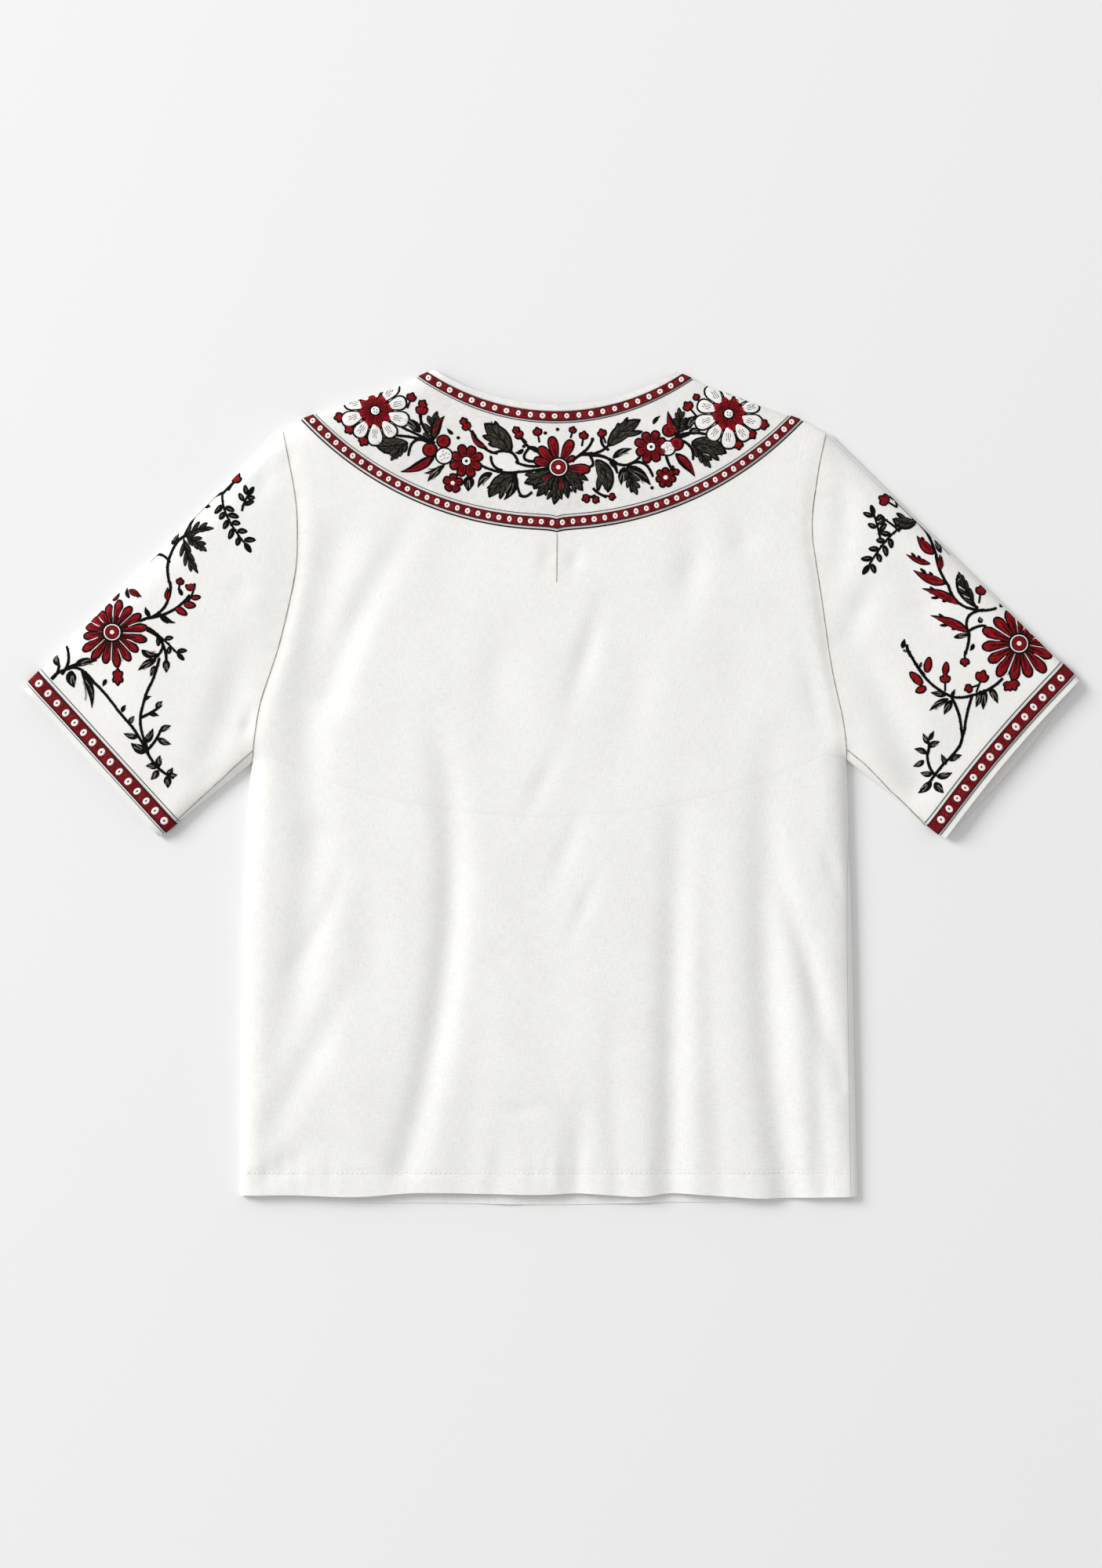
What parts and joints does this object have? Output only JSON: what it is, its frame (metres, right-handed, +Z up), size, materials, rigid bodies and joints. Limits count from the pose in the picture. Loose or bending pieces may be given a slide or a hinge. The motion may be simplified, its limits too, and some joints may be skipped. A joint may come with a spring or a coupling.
{
  "type": "v-neck blouse",
  "caption": "Short-sleeved v-neck blouse laid flat with its back up, with an embroidered curved yoke, ribbon trims and open cuffs and hem",
  "frame": {"origin": "under the middle of the blouse, on the surface that it lies on", "axes": "+X across the blouse towards the wearer's right, +Y from hem to neck, +Z up off the surface; the blouse lies on its front with its back up"},
  "size_m": [0.8628, 0.6832, 0.0138],
  "materials": {
    "body_cloth": "matte off-white plain-woven cotton",
    "yoke_cloth": "matte slubbed off-white cotton, embroidered",
    "binding": "folded white cotton binding",
    "ribbon": "woven dark red ribbon with small white rings",
    "thread_red": "satin-stitched red embroidery thread",
    "thread_black": "satin-stitched near-black embroidery thread",
    "thread_white": "satin-stitched white embroidery thread"
  },
  "bodies": {
    "root": {"back_panel": "body_cloth", "front_panel": "body_cloth", "sleeve_left": "body_cloth", "sleeve_right": "body_cloth", "back_yoke": "yoke_cloth", "neck_binding_back": "binding", "neck_binding_front": "binding", "neck_ribbon": "ribbon", "yoke_ribbon": "ribbon", "cuff_ribbon_left": "ribbon", "cuff_ribbon_right": "ribbon"}
  },
  "joints": []
}
